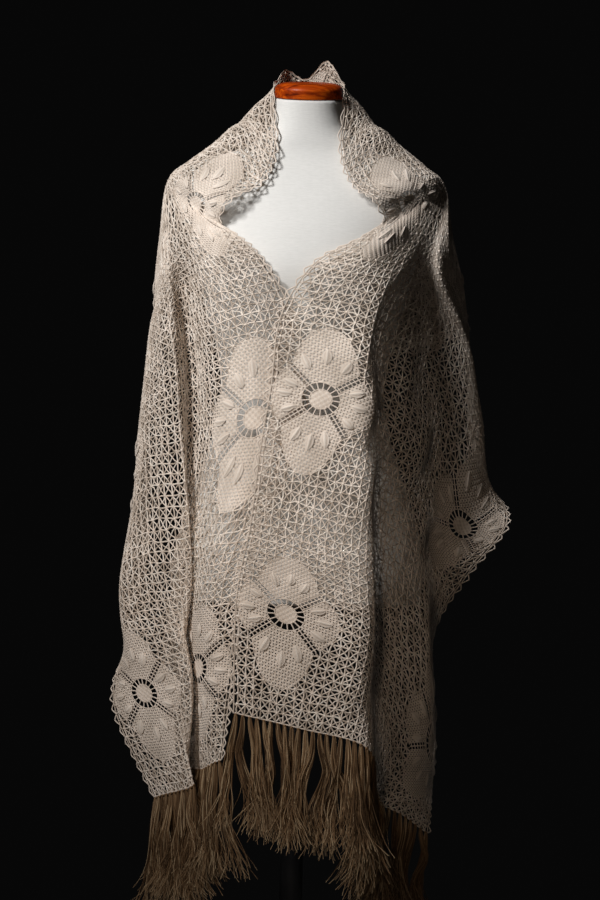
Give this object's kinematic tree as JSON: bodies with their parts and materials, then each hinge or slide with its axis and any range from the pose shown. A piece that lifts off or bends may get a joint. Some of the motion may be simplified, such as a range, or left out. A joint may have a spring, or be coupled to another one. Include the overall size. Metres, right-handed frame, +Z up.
{
  "type": "lace shawl on a dress form",
  "caption": "Ecru linen lace shawl with open flowers, picot edges and a long fringe, draped round the shoulders of a linen-covered dress form on a black stand",
  "frame": {"origin": "centre of the stand base's underside, on the floor under the middle of the dress form", "axes": "+Z up along the stand, -Y to the front of the dress form, +X to the viewer's right from the front"},
  "size_m": [0.5644, 0.35, 1.5483],
  "materials": {
    "lace_linen": "matt linen thread",
    "fringe_linen": "loose matt thread",
    "cover_linen": "taut plain weave",
    "cap_wood": "gloss varnish",
    "stand_metal": "satin black"
  },
  "bodies": {
    "root": {"shawl_left_front": "lace_linen", "shawl_left_lapel": "lace_linen", "shawl_back": "lace_linen", "shawl_right_lapel": "lace_linen", "shawl_right_front": "lace_linen", "fringe_left": "fringe_linen", "fringe_right": "fringe_linen", "form_torso": "cover_linen", "neck_cap": "cap_wood", "stand_pole": "stand_metal", "stand_base": "stand_metal"}
  },
  "joints": []
}
